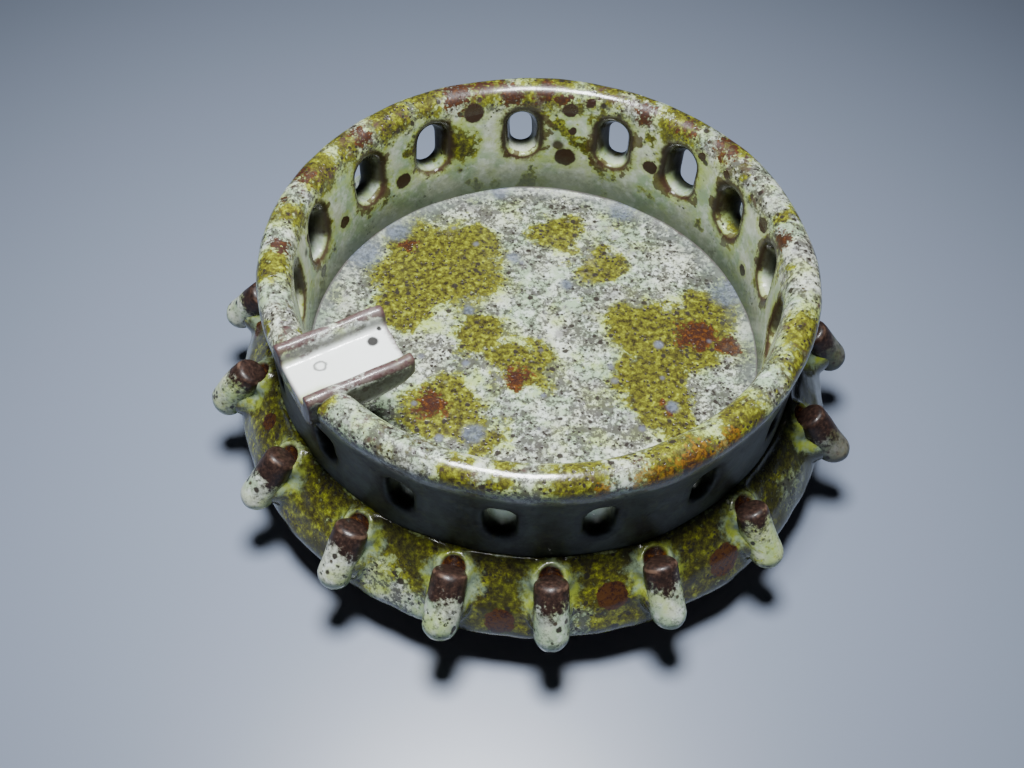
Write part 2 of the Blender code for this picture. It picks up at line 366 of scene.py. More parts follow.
def part_at(mesh, height, above):
    """The half of the wall above or below a level cut, closed where it was cut."""
    bm = bmesh.new()
    bm.from_mesh(mesh)
    found = bmesh.ops.bisect_plane(
        bm, geom=bm.verts[:] + bm.edges[:] + bm.faces[:], plane_co=(0, 0, height * MM), plane_no=UP,
        clear_outer=not above, clear_inner=above)["geom_cut"]
    rim = [item for item in found if isinstance(item, bmesh.types.BMEdge)]
    for edge in rim:
        edge.smooth = False
    bmesh.ops.holes_fill(bm, edges=rim, sides=0)
    return as_mesh("half", bm)


def make_wall_and_rim():
    """The gallery wall below the joint and the rolled rim above it, from one clay."""
    whole = clay_wall()
    wall = part_at(whole, JOINT_Z, above=False)
    rim = part_at(whole, JOINT_Z, above=True)
    finish("gallery_wall_glazed", wall, MATERIALS["wall"], "gallery_wall")
    finish("rolled_rim_glazed", rim, MATERIALS["rim"], "rolled_rim")


def rest_outline():
    """Cross-section of the rest as (across, height): round belly, two ridges, a flat groove."""
    lip = (REST_HALF - GROOVE_HALF) / 2
    half = arc(REST_BELLY_R, REST_HALF - REST_BELLY_R, REST_BOTTOM_Z + REST_BELLY_R, -90, 0, 6)
    half += arc(lip, REST_HALF - lip, REST_TOP_Z - lip, 0, 180, 9)
    half += arc(GROOVE_CORNER_R, GROOVE_HALF - GROOVE_CORNER_R, GROOVE_Z + GROOVE_CORNER_R, 0, -90, 5)
    return half + [(-across, height) for across, height in reversed(half)]


def make_rest():
    """The U-shaped rest, its ridges rounded over and its nose trimmed on the slant."""
    stations = [(REST_STOP, 1), (REST_STOP - 1.5, 1), (REST_START + 8, 1), (REST_START + 3, 1),
                (REST_START, 0.97)]
    bm = run_along(rest_outline(), stations)
    for vert in bm.verts:
        along = vert.co.x / MM - REST_START
        if along < NOSE_LENGTH and vert.co.z < (GROOVE_Z - 1) * MM:
            vert.co.z += NOSE_RISE * (1 - along / NOSE_LENGTH) ** 2 * MM
    bm.transform(rest_place())
    mesh = fired("rest", bm, voxel=0.42, soften=7)
    waver(mesh, amount=0.3, size=9, seed=8)
    feel_edges(mesh, 5)
    points = np.c_[coordinates(mesh), np.ones(len(mesh.vertices))]
    run, across, height = (np.array(rest_place().inverted()) @ points.T)[:3] / MM
    store(mesh, "run", run)
    store(mesh, "across", across)
    between = np.clip((GROOVE_HALF - np.abs(across)) / 0.9, 0, 1)
    below = np.clip((REST_TOP_Z - 1.0 - height) / 1.2, 0, 1)
    store(mesh, "groove", between * below)
    finish("rest_trough_glazed", mesh, MATERIALS["rest"], "rest_trough")


def peg_azimuths():
    """Where each CAD peg stands round the dish, in degrees."""
    found = []
    for name in PEG_NAMES:
        low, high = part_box(name)
        middle = (low + high) / 2
        found.append(math.degrees(math.atan2(middle.y, middle.x)))
    return found


def shoulder_swellings(bm):
    """Clay pushed up round every peg: a hump behind it and a saddle under it."""
    for azimuth in peg_azimuths():
        for radius, height, size in SWELLINGS:
            place = about_z(azimuth) @ Matrix.Translation((radius * MM, 0, height * MM))
            bmesh.ops.create_uvsphere(bm, u_segments=20, v_segments=12, radius=MM,
                                      matrix=place @ Matrix.Diagonal((*size, 1)))


def press_pits(mesh):
    """The small hollow left behind every peg."""
    for azimuth in peg_azimuths():
        turn = about_z(azimuth)
        scoop(mesh, turn @ Vector(PIT_BALL), turn @ Vector(PIT_OUTWARD), PIT_BALL_R)


def peg_share(mesh, radius, height, reach):
    """How near each point lies to the same spot beside every peg: 1 close by, 0 out of reach."""
    points = coordinates(mesh) / MM
    share = np.zeros(len(points))
    for azimuth in peg_azimuths():
        centre = np.array(about_z(azimuth) @ Vector((radius, 0, height)))
        away = np.linalg.norm(points - centre, axis=1)
        share = np.maximum(share, np.clip(1.35 * (1 - away / reach), 0, 1))
    return share


def make_shoulder():
    """Sloping shoulder ring, lumpy and softened, with its edge rolled under."""
    bore = WALL_OUTER_R - 0.6
    outline = [(bore, SHOULDER_BASE_Z + 1.2), (bore, 30.6)]
    outline += [(WALL_OUTER_R + 0.3, 30.4), (WALL_OUTER_R + 1.0, 28.7), (WALL_OUTER_R + 2.6, 27.6)]
    outline += [(68.8, 25.0), (72.0, 21.0)]
    outline += arc(SHOULDER_EDGE_R, SHOULDER_OUTER_R - SHOULDER_EDGE_R,
                   SHOULDER_BASE_Z + SHOULDER_EDGE_R, 35, -90, 8)
    outline += [(WALL_OUTER_R + 2.0, SHOULDER_BASE_Z)]
    bm = thrown(outline)
    shoulder_swellings(bm)
    mesh = fired("shoulder", bm, voxel=0.7, soften=8)
    press_pits(mesh)
    waver(mesh, amount=0.55, size=11, seed=5)
    feel_edges(mesh)
    store(mesh, "pit", peg_share(mesh, radius=67.6, height=27.4, reach=4.6))
    store(mesh, "hump", peg_share(mesh, radius=69.5, height=25.0, reach=10.0))
    finish("shoulder_ring_glazed", mesh, MATERIALS["shoulder"], "shoulder_ring")


def peg_mesh(name, azimuth, dice):
    """One peg: a plug of clay with a cut upper end and a round tip, leaning as it was pressed on."""
    outline = [(0.0, 0.0), (PEG_R - 2.6, 0.0)]
    outline += arc(1.6, PEG_R - 1.7, 1.6, -90, -8, 7)
    outline += [(PEG_R - 0.03, 2.8), (PEG_R, 4.0), (PEG_R + 0.05, 6.5), (PEG_R, 9.0)]
    outline += arc(PEG_R, 0.0, PEG_LENGTH - PEG_R, 0, 90, 9)
    bm = thrown(outline, steps=40, closed=False)
    bend = dice.uniform(-0.6, 0.6)
    thick = dice.uniform(0.94, 1.0)
    for vert in bm.verts:
        along = vert.co.z / MM
        vert.co.y += bend * math.sin(along / PEG_LENGTH * math.pi) * MM
        vert.co.x *= thick
        vert.co.y *= thick
    bmesh.ops.subdivide_edges(bm, edges=bm.edges, cuts=1, use_grid_fill=True)
    mesh = as_mesh(name, bm)
    store(mesh, "along", coordinates(mesh)[:, 2] / MM)
    tilt = math.radians(PEG_TILT)
    axis = Vector((math.cos(tilt), 0, -math.sin(tilt)))
    turn = axis.to_track_quat("Z", "Y").to_matrix().to_4x4()
    start = Vector((PEG_TIP_R * MM, 0, PEG_TIP_Z * MM)) - axis * (PEG_LENGTH - PEG_R) * MM
    lean = Matrix.Rotation(math.radians(dice.uniform(-3, 3)), 4, "X")
    mesh.transform(about_z(azimuth) @ Matrix.Translation(start) @ turn @ lean)
    mesh.update()
    waver(mesh, amount=0.2, size=5, seed=azimuth)
    return mesh


def make_pegs():
    """All the pegs, each a little different in bend, thickness and glaze."""
    dice = random.Random(11)
    for name, azimuth in zip(PEG_NAMES, peg_azimuths()):
        mesh = peg_mesh(name, azimuth, dice)
        feel_edges(mesh, 3)
        store(mesh, "tone", [dice.random()] * len(mesh.vertices))
        finish(name + "_glazed", mesh, MATERIALS["peg"], name)


def make_base():
    """The floor, uneven under its glaze and sweeping up into the wall, and its clay underside."""
    outline = []
    for step in range(FLOOR_RINGS + 1):
        radius = WALL_INNER_R * step / FLOOR_RINGS
        sweep = SWEEP_RISE * max(0.0, (radius - SWEEP_START_R) / SWEEP_WIDTH) ** 2
        outline.append((radius, FLOOR_Z - 0.6 + sweep))
    outline += [(BASE_OUTER_R, FLOOR_Z - 1), (BASE_OUTER_R, BASE_BOTTOM_Z), (FOOT_INNER_R, BASE_BOTTOM_Z)]
    outline += [(FOOT_INNER_R - 3, RECESS_TOP_Z), (0.0, RECESS_TOP_Z)]
    mesh = as_mesh("base", thrown(outline, steps=240, closed=False))
    points = coordinates(mesh)
    for point in points:
        if point[2] > 24 * MM:
            place = Vector(point) / MM
            point[2] += (0.30 * noise.noise(place / 15) + 0.12 * noise.noise(place / 4.5)) * MM
    shift_points(mesh, points)
    feel_edges(mesh)
    keep_radius(mesh)
    finish("base_dish_glazed", mesh, MATERIALS["floor"], "base_dish")


def make_foot():
    """Bare turned foot with the marks of the trimming tool."""
    outline = [(FOOT_INNER_R, FOOT_TOP_Z), (WALL_OUTER_R, FOOT_TOP_Z), (WALL_OUTER_R, 11.6)]
    start = Vector((59.4, 8.4))
    stop = Vector((55.0, 1.2))
    for step in range(TOOL_MARKS):
        share = step / (TOOL_MARKS - 1)
        place = start.lerp(stop, share)
        mark = 0.12 * math.sin(step * 2.4)
        hollow = 0.5 * math.sin(share * math.pi)
        outline.append((place.x + mark - hollow, place.y))
    outline += [(54.6, 0.3), (54.0, 0.0), (48.0, 0.0), (47.4, 0.3), (FOOT_INNER_R, 1.2)]
    mesh = as_mesh("foot", thrown(outline))
    mesh.set_sharp_from_angle(angle=math.radians(50))
    feel_edges(mesh)
    finish("foot_ring_turned", mesh, MATERIALS["clay"], "foot_ring")


class Wire:
    """One number in a glaze recipe: sums and products of wires add its Math nodes."""

    def __init__(self, recipe, socket):
        self.recipe = recipe
        self.socket = socket

    def __add__(self, other):
        return self.recipe.maths("ADD", self, other)

    def __sub__(self, other):
        return self.recipe.maths("SUBTRACT", self, other)

    def __rsub__(self, other):
        return self.recipe.maths("SUBTRACT", other, self)

    def __mul__(self, other):
        return self.recipe.maths("MULTIPLY", self, other)

    def __truediv__(self, other):
        return self.recipe.maths("DIVIDE", self, other)

    def __or__(self, other):
        return self.recipe.maths("MAXIMUM", self, other)

    __radd__ = __add__
    __rmul__ = __mul__

    def output(self, name):
        """Another output of the node that this wire comes from."""
        return Wire(self.recipe, self.socket.node.outputs[name])


class Recipe:
    """A glaze: nodes are added by node(), and place is the point on the dish in millimetres."""

    def __init__(self, name):
        self.material = bpy.data.materials.new(name)
        self.material.use_nodes = True
        self.tree = self.material.node_tree
        self.skin = self.tree.nodes["Principled BSDF"]
        spot = self.node("ShaderNodeTexCoord", output="Object")
        self.place = self.node("ShaderNodeVectorMath", {"operation": "SCALE"}, {0: spot, "Scale": 1 / MM})
        self.right = self.node("ShaderNodeSeparateXYZ", inputs={0: self.place}, output="X")
        self.back = self.right.output("Y")
        self.height = self.right.output("Z")

    def node(self, kind, settings=None, inputs=None, output=0):
        """Add a node: its settings first, then the values or wires of its sockets."""
        made = self.tree.nodes.new(kind)
        for name, value in (settings or {}).items():
            if name == "stops":
                self.set_stops(made.color_ramp, value)
            else:
                setattr(made, name, value)
        for name, value in (inputs or {}).items():
            if isinstance(value, Wire):
                self.tree.links.new(value.socket, made.inputs[name])
            elif isinstance(value, tuple) and made.inputs[name].type == "RGBA":
                made.inputs[name].default_value = (*value, 1)
            else:
                made.inputs[name].default_value = value
        return Wire(self, made.outputs[output])

    def set_stops(self, ramp, stops):
        """Give a colour ramp its stops of (position, colour)."""
        while len(ramp.elements) < len(stops):
            ramp.elements.new(1)
        for element, (at, colour) in zip(ramp.elements, stops):
            element.position = at
            element.color = (*colour, 1)

    def maths(self, operation, one, two):
        """A Math node of two wires or numbers."""
        return self.node("ShaderNodeMath", {"operation": operation}, {0: one, 1: two})

    def ease(self, value, low, high):
        """0 below low, 1 above high, and smooth between. Falls instead if low is above high."""
        return self.node("ShaderNodeMapRange", {"interpolation_type": "SMOOTHSTEP"},
                         {"Value": value, "From Min": low, "From Max": high})

    def blend(self, share, one, two):
        """Mix colour one towards colour two."""
        return self.node("ShaderNodeMix", {"data_type": "RGBA"}, {0: share, 6: one, 7: two}, output=2)

    def ramp(self, value, *stops):
        """A colour that runs through stops of (value, colour)."""
        return self.node("ShaderNodeValToRGB", {"stops": stops}, {0: value})

    def cloud(self, size, detail=3.0, roughness=0.55, shift=0.0):
        """Soft noise from 0 to 1 with blotches of about this size."""
        moved = self.node("ShaderNodeMapping", inputs={
            0: self.place, "Location": (shift, -shift, shift / 2)})
        return self.node("ShaderNodeTexNoise", inputs={
            "Vector": moved, "Scale": 1 / size, "Detail": detail, "Roughness": roughness})

    def warped(self, amount, size):
        """The place, moved about so that what is drawn on it gets a ragged edge."""
        swirl = self.node("ShaderNodeTexNoise", inputs={
            "Vector": self.place, "Scale": 1 / size, "Detail": 4.0, "Roughness": 0.6}, output="Color")
        centred = self.node("ShaderNodeVectorMath", {"operation": "SUBTRACT"},
                            {0: swirl, 1: (0.5, 0.5, 0.5)})
        scaled = self.node("ShaderNodeVectorMath", {"operation": "SCALE"}, {0: centred, "Scale": amount})
        return self.node("ShaderNodeVectorMath", {"operation": "ADD"}, {0: self.place, 1: scaled})

    def specks(self, size, share, low, high, place, shift):
        """Round specks in a share of the cells of this size, with radii between low and high."""
        moved = self.node("ShaderNodeMapping", inputs={0: place, "Location": (shift, shift, -shift)})
        cells = self.node("ShaderNodeTexVoronoi", inputs={
            "Vector": moved, "Scale": 1 / size, "Randomness": 1.0})
        chance = self.node("ShaderNodeSeparateXYZ", inputs={0: cells.output("Color")}, output="X")
        spread = chance.output("Y")
        radius = (spread * (high - low) + low) * self.ease(chance, share, share - 0.02) / size
        return self.ease(cells - radius, 0.06, -0.06)

    def marks(self, place, marks, soft):
        """Blots at listed places: each mark is (x, y, z, radius)."""
        found = None
        for x, y, z, radius in marks:
            away = self.node("ShaderNodeVectorMath", {"operation": "DISTANCE"},
                             {0: place, 1: (x, y, z)}, output="Value")
            blot = self.ease(away, radius * (1 + soft), radius * (1 - soft))
            found = blot if found is None else found | blot
        return found

    def attribute(self, name):
        """A number kept on the mesh's points."""
        return self.node("ShaderNodeAttribute", {"attribute_name": name}, output="Fac")

    def apply(self, colour, roughness, relief, depth):
        """Wire the colour, the roughness and a fine relief into the shader."""
        self.tree.links.new(colour.socket, self.skin.inputs["Base Color"])
        self.tree.links.new(roughness.socket, self.skin.inputs["Roughness"])
        bump = self.node("ShaderNodeBump", inputs={
            "Height": relief, "Distance": depth * MM, "Strength": 1.0})
        self.tree.links.new(bump.socket, self.skin.inputs["Normal"])
        return self.material


# Pale glazes
MINT = (0.29, 0.39, 0.25)
CREAM = (0.49, 0.53, 0.41)
MILK = (0.66, 0.71, 0.67)
GROOVE_WHITE = (0.85, 0.88, 0.86)
LIME = (0.34, 0.44, 0.09)
LIME_HALO = (0.36, 0.46, 0.08)
HUMP_LIME = (0.32, 0.40, 0.05)
YELLOW = (0.30, 0.34, 0.024)
LILAC_GREY = (0.22, 0.215, 0.215)
BLUE_GREY = (0.125, 0.150, 0.190)
DEEP_BLUE_GREY = (0.06, 0.07, 0.09)
ROUND_GREY = (0.10, 0.10, 0.12)
# Painted shade on the floor towards the wall
CORNER_SHADE_GREY = (0.10, 0.12, 0.11)

# Dark glazes
OLIVE = (0.120, 0.124, 0.014)
MOSS = (0.055, 0.050, 0.012)
MOSS_SHADE = (0.032, 0.028, 0.012)
MOSS_DARK = (0.022, 0.022, 0.012)
SIDE_MOSS = (0.022, 0.024, 0.012)
BLOOM_BLACK = (0.020, 0.016, 0.008)
# Glaze pooling low on the inner wall, deepened as painted shade
POOLED_GREEN_AND_SHADE = (0.075, 0.092, 0.062)
RUST = (0.048, 0.018, 0.008)
AMBER = (0.145, 0.055, 0.009)
AMBER_GLOW = (0.22, 0.110, 0.010)
IRON = (0.030, 0.012, 0.010)
SPOT_BROWN = (0.032, 0.016, 0.012)
BURNT_BROWN = (0.060, 0.036, 0.016)
PURPLE_BROWN = (0.070, 0.036, 0.036)
LIP_BROWN = (0.040, 0.020, 0.014)
# Painted shade on the slots' flanks and tops, in brown
FLANK_SHADE_BROWN = (0.032, 0.022, 0.016)
BLOT_BROWN = (0.07, 0.03, 0.01)
MOTTLE_BROWN = (0.042, 0.037, 0.032)
GRIT_BLACK = (0.026, 0.021, 0.018)
RING_BLACK = (0.014, 0.012, 0.011)
SLOT_SHADE = (0.040, 0.052, 0.060)
# Outside of the wall: dark glaze colours, darkened further as painted shade
SHADED_OUTER_BROWN = (0.014, 0.011, 0.008)
SHADED_OUTER_GREEN = (0.040, 0.048, 0.036)
SHADED_OUTER_OLIVE = (0.060, 0.060, 0.016)
SHOULDER_EDGE = (0.045, 0.045, 0.02)
# Painted shade under the rest's ridges
REST_UNDER_SHADE = (0.045, 0.038, 0.026)
PEG_DOT = (0.035, 0.022, 0.014)
PEG_BROWNS = ((0.38, (0.012, 0.007, 0.006)), (0.54, (0.030, 0.016, 0.012)), (0.72, (0.065, 0.036, 0.026)))
# Tan on the pegs' bevels, partly painted highlight
PEG_TAN_AND_HIGHLIGHT = (0.20, 0.12, 0.08)

# Clay
CLAY = (0.30, 0.20, 0.13)
CLAY_SCORCHED = (0.19, 0.11, 0.07)
GROG = (0.48, 0.38, 0.28)

# Marks on the floor as (x, y, radius)
FLOOR_MARK_Z = 26
FLOOR_OLIVE = (
    (-26, 25, 15), (-34, 10, 8), (-17, 36, 6), (6, 39, 6.5), (17, 27, 6), (28, 6, 9), (39, 4, 11),
    (30, -10, 9), (33, -20, 7), (-2, -8, 8), (-22, -22, 9), (-12, -30, 6), (-14, 2, 7), (46, 14, 6))
FLOOR_RUST = ((41, 4, 5.5), (49, 1, 3.5), (-4, -12, 4), (-25, -21, 4.5), (-34, 32, 2.4), (33, -20, 2.5))
FLOOR_POOLS = (
    (50, 19, 4.2), (23, 48, 3.4), (-46, 28, 4.5), (-11, 54, 2.6), (-38, 37, 3.2),
    (-14, -29, 2.6), (-17, 10, 1.5), (34, -19, 1.6), (8, 20, 1.6), (-6, 29, 1.8))

# Marks elsewhere as (x, y, z, radius)
WALL_SPOTS = (
    (-17.5, 53.2, 53.7, 3.0), (7, 55.6, 38.4, 3.0), (29.4, 47.7, 43, 2.1), (40.3, 38.9, 54.4, 1.5),
    (45.8, 32.3, 55, 1.4), (53.5, 16.6, 53.4, 2.1), (-36, 42.9, 39.1, 2.4), (-49.6, 26, 39.8, 1.9),
    (52.7, 19, 35, 1.6), (7.4, 55.6, 54, 2.2), (12.3, 54.6, 57, 2.0), (-30, 47, 57, 1.2),
    (8.5, 55.3, 47.5, 1.2), (35, 43.7, 53, 1.0), (-55, 10, 50, 1.6), (-54, 14, 34, 1.8))
RIM_RUST = (
    (-22, 56, 58, 4.6), (-8, 57.5, 57.5, 3.8), (-15, 59, 58, 3.0), (1, 58, 58.5, 3.2), (6, 56, 57, 2.2),
    (27, 52, 57, 3.4), (38, 46, 58, 2.4), (47, 38, 57.5, 3.4), (57, 8, 57, 3.0), (33, -57, 57, 3.0),
    (-45, 38, 58, 3.2), (-57, 22, 58, 3.0), (-60, -2, 58, 2.6), (-61, 11, 57, 2.4))
RIM_OLIVE = (
    (-15, 60, 57, 6), (2, 62, 57, 7), (18, 60, 57, 6), (36, 49, 57, 6), (50, 38, 57, 5), (60, -22, 57, 7),
    (58, -31, 57, 6), (30, -57, 57, 8), (44, -47, 57, 8), (8, -62, 57, 6), (-50, 35, 57, 5),
    (-60, 8, 57, 4), (52, 30, 44, 6), (-22, 51, 44, 6), (-40, 46, 57, 6), (-55, 25, 58, 6),
    (-61, -8, 57, 5), (-30, 53, 58, 5), (-44, -45, 57, 3), (-16, -61, 57, 4), (-6, -62, 57, 4))
RIM_AMBER = (
    (25, -61, 57, 4.5), (33, -57, 57, 5.5), (40, -51, 57, 4.0), (63, -20, 55, 3.5), (62, -30, 55, 3.5),
    (14, -64, 56, 3.0))
SHOULDER_PALE = ((-31.9, -65.5, 18, 7), (62, -37, 19, 6), (-24, -69, 16, 5), (11, -72, 17, 4))
SHOULDER_BROWN = (
    (18.5, -67.8, 22, 3.6), (-6, -73, 17.5, 3.4), (44, -57, 20, 4), (-62, -27, 25, 2.5),
    (-69, 3, 22, 3), (67, 22, 21, 4), (10, 70, 21, 4), (-30, 63, 22, 4))
REST_RING = ((-46.5, -33.3, 55.5, 1.5),)
REST_RING_HOLE = ((-46.5, -33.3, 55.5, 0.95),)
REST_DOTS = ((-36, -26, 55.5, 1.3), (-35.0, -22.5, 55.5, 0.7), (-53, -31, 55.5, 0.8))


def on_floor(marks):
    """Floor marks with the floor's height put in."""
    return [(x, y, FLOOR_MARK_Z, radius) for x, y, radius in marks]


def glaze_layers(recipe, olive, bare_edges, speckle, pale=(MINT, CREAM), dark_edge=PURPLE_BROWN):
    """The shared build-up: pale coat, olive bloom, specks, and clay showing through on the ridges.

    olive, bare_edges and speckle are wires or numbers from 0 to 1 that say where each one lies.
    Returns the colour, and where the dark specks are.
    """
    r = recipe
    drift = r.ease(r.cloud(12, 3, shift=4), 0.42, 0.6)
    milk = r.ease(r.cloud(2.6, 4, 0.6, shift=9), 0.46, 0.66)
    colour = r.blend(drift, *pale)
    colour = r.blend(milk * 0.6, colour, MILK)
    density = speckle + (r.cloud(7, 5, 0.7, shift=14) - 0.5) * 3.6
    grey = r.ease(r.cloud(5.5, 5, 0.65, shift=21), 0.52, 0.68)
    colour = r.blend(grey * r.ease(speckle, 0.05, 0.45) * 0.8, colour, LILAC_GREY)
    lime = r.ease(r.cloud(9, 4, 0.6, shift=26), 0.50, 0.66)
    colour = r.blend(lime * 0.6, colour, LIME)

    grain = r.cloud(1.6, 5, 0.72, shift=31)
    bloom = r.ramp(grain, (0.34, BLOOM_BLACK), (0.45, MOSS), (0.55, OLIVE), (0.68, YELLOW), (0.82, CREAM))
    halo = r.ease(olive + (grain - 0.5) * 0.5, 0.10, 0.40)
    colour = r.blend(halo * 0.65, colour, LIME_HALO)
    mottle = r.ease(r.cloud(1.3, 5, 0.75, shift=52) + density * 0.16, 0.53, 0.68)
    colour = r.blend(mottle * (0.22 + r.ease(speckle, 0.1, 0.5) * 0.66), colour, MOTTLE_BROWN)
    colour = r.blend(r.ease(olive + (grain - 0.5) * 1.5, 0.36, 0.60), colour, bloom)

    fine = r.warped(0.8, 1.2)
    dust = r.specks(1.15, 0.9, 0.20, 0.44, fine, 3) * r.ease(density, 0.2, 0.7)
    grit = r.specks(2.9, 0.58, 0.30, 0.85, fine, 8) * r.ease(speckle + 0.2, 0.2, 0.5)
    dark = dust | grit
    colour = r.blend(dark * 0.96, colour, GRIT_BLACK)
    ragged = (r.cloud(0.8, 4, 0.7, shift=44) - 0.5) * 0.9
    colour = r.blend(r.ease(bare_edges + ragged, 0.34, 0.62) * 0.92, colour, dark_edge)
    return colour, dark


def gloss(recipe, colour, dark, dry, coat=0.35):
    """Finish a glaze: glossy where thick, drier where it ran thin, with an orange-peel skin."""
    r = recipe
    roughness = 0.17 + dry * 0.22 + r.cloud(2.0, 2, shift=5) * 0.10
    relief = r.cloud(2.4, 2, shift=2) * 0.6 + r.cloud(0.7, 3, shift=6) * 0.25 - dark * 0.35
    r.skin.inputs["Coat Weight"].default_value = coat
    r.skin.inputs["Specular IOR Level"].default_value = 0.25 + coat * 0.7
    r.skin.inputs["Coat Roughness"].default_value = 0.06
    return r.apply(colour, roughness, relief, depth=0.12)


def wall_glaze(name, coat):
    """Pale celadon with iron spots and yellow-green halos, burnt along every lip; a dark glaze outside,
    darkened further as painted shade, and painted shade low on the inside and in the slots.
    """
    r = Recipe(name)
    bend = r.attribute("bend")
    slot = r.attribute("slot")
    radius = r.attribute("radius")
    high = r.ease(r.height, 51, 56)
    inner = r.ease(radius, 58.4, 57.2)
    grain = r.cloud(1.0, 4, 0.7, shift=71)
    wander = r.cloud(2.0, 4, 0.65, shift=97) - 0.5
    beside = r.ease(slot + wander * 3, 5.5, 2.0)

    # The shared coat, with olive round spots, slots and along the rim
    halos = r.marks(r.warped(2.2, 3.0), [(x, y, z, size * 1.75) for x, y, z, size in WALL_SPOTS], 0.3)
    bloom = r.marks(r.warped(11, 7), RIM_OLIVE, 0.8)
    stray = r.ease(r.cloud(10, 4, 0.6, shift=60), 0.54, 0.68)
    olive = halos * 0.30 | bloom * 0.85 | stray * 0.75 | beside * 0.34 * inner
    speckle = high * 0.60 + 0.06 + stray * 0.30
    edges = r.ease(bend, 0.10, 0.26) * (1 - high * 0.6)
    colour, dark = glaze_layers(r, olive, edges, speckle)

    # Burnt smears on the wall, flecks, rust and amber on the rim
    smear = r.ease(r.cloud(8, 4, 0.6, shift=33) + beside * 0.16, 0.62, 0.76) * (1 - high) * inner
    colour = r.blend(r.ease(smear + (grain - 0.5) * 1.2, 0.35, 0.65) * 0.85, colour, BURNT_BROWN)
    fleck = r.ease(r.cloud(3.4, 5, 0.75, shift=57) + r.cloud(14, 2, shift=59) * 0.3, 0.66, 0.80) * high
    flecks = r.blend(r.ease(r.cloud(9, 2, shift=58), 0.45, 0.6), PURPLE_BROWN, MOSS)
    colour = r.blend(fleck * 0.82, colour, flecks)
    rust = r.marks(r.warped(10, 4.0), RIM_RUST, 0.9)
    burnt = r.ramp(grain, (0.40, IRON), (0.56, RUST), (0.74, AMBER))
    colour = r.blend(r.ease(rust * 0.95 + (grain - 0.5) * 2.0, 0.42, 0.70), colour, burnt)
    amber = r.marks(r.warped(9, 5.0), RIM_AMBER, 0.7)
    glow = r.blend(r.ease(grain, 0.44, 0.62), RUST, AMBER_GLOW)
    colour = r.blend(r.ease(amber + (grain - 0.5) * 2.2, 0.50, 0.78) * 0.8, colour, glow)

    # Iron spots, and glaze pooling low on the wall, darkened further as painted shade towards the bottom of
    # the inside
    colour = r.blend(r.specks(9, 0.30, 0.9, 1.9, r.warped(0.6, 2.0), 5) * 0.9, colour, IRON)
    spots = r.marks(r.warped(1.6, 2.0), WALL_SPOTS, 0.10)
    colour = r.blend(spots, colour, SPOT_BROWN)
    pooled_and_shade = r.ease(r.height + wander * 8, 40, 28)
    colour = r.blend(pooled_and_shade * 0.86, colour, POOLED_GREEN_AND_SHADE)

    # Slots: brown lips, painted shade in brown on their flanks and tops, and shade in the front ones
    lip = r.ease(slot + wander * 2.6, 2.6, 0.8) * r.ease(slot, 0.0, 0.7) * inner
    colour = r.blend(lip * 0.95, colour, LIP_BROWN)
    flank_shade = r.ease(slot + wander * 2.0, 2.2, 1.0) * r.ease(r.height + wander * 3, 39.5, 42.5)
    colour = r.blend(flank_shade * 0.92, colour, FLANK_SHADE_BROWN)
    shade = r.ease(slot, 1.8, 0.8) * r.ease(r.back, -15, -35)
    colour = r.blend(shade * 0.9, colour, SLOT_SHADE)

    # The outside of the wall: a dark streaked glaze, made darker still as painted shade where the overhead
    # lamp leaves the wall unlit
    outer = r.ease(radius, 58.5, 61.5) * r.ease(r.height, 56.5, 51.5)
    shaded_streaks = r.blend(r.ease(r.cloud(5, 4, 0.6, shift=40), 0.42, 0.6), SHADED_OUTER_BROWN, SHADED_OUTER_GREEN)
    shaded_streaks = r.blend(r.ease(r.cloud(3, 5, 0.7, shift=42), 0.54, 0.66) * 0.7, shaded_streaks, SHADED_OUTER_OLIVE)
    colour = r.blend(outer * 0.92, colour, shaded_streaks)
    return gloss(r, colour, dark, rust | outer, coat)


def floor_glaze():
    """The floor: mint and grey with dense grit, olive and yellow patches, rust cores and blue pools, and
    painted shade towards the wall.
    """
    r = Recipe("floor_glaze")
    grain = r.cloud(1.0, 4, 0.7, shift=71)
    patches = r.marks(r.warped(17, 8), on_floor(FLOOR_OLIVE), 0.6)
    stray = r.ease(r.cloud(7, 4, 0.6, shift=60), 0.60, 0.72)
    edges = r.ease(r.attribute("bend"), 0.2, 0.5)
    speckle = 0.52 + r.ease(r.cloud(9, 3, shift=17), 0.4, 0.6) * 0.45
    colour, dark = glaze_layers(r, patches * 1.12 | stray * 0.6, edges, speckle)
    rust = r.marks(r.warped(9, 4), on_floor(FLOOR_RUST), 0.8)
    burnt = r.ramp(grain, (0.40, IRON), (0.54, RUST), (0.70, AMBER))
    colour = r.blend(r.ease(rust + (grain - 0.5) * 1.5, 0.45, 0.75), colour, burnt)

    # Round spots, each with a bluish middle
    wobbly = r.warped(0.5, 2.0)
    colour = r.blend(r.specks(6.0, 0.32, 0.7, 1.4, wobbly, 5) * 0.8, colour, ROUND_GREY)
    colour = r.blend(r.specks(6.0, 0.32, 0.35, 0.9, wobbly, 5) * 0.7, colour, BLUE_GREY)

    # Painted shade darkening the floor towards the wall, with glassy pools
    corner_shade = r.ease(r.attribute("radius") + (r.cloud(5, 4, shift=29) - 0.5) * 14, 49, 57)
    colour = r.blend(corner_shade * 0.6, colour, CORNER_SHADE_GREY)
    pools = r.marks(r.warped(1.5, 2.5), on_floor(FLOOR_POOLS), 0.5)
    glassy = r.blend(r.ease(grain, 0.42, 0.6), DEEP_BLUE_GREY, BLUE_GREY)
    colour = r.blend(pools * 0.88, colour, glassy)
    under = r.ease(r.height, 23, 21)
    colour = r.blend(under, colour, CLAY)
    return gloss(r, colour, dark, under | corner_shade * 0.9)


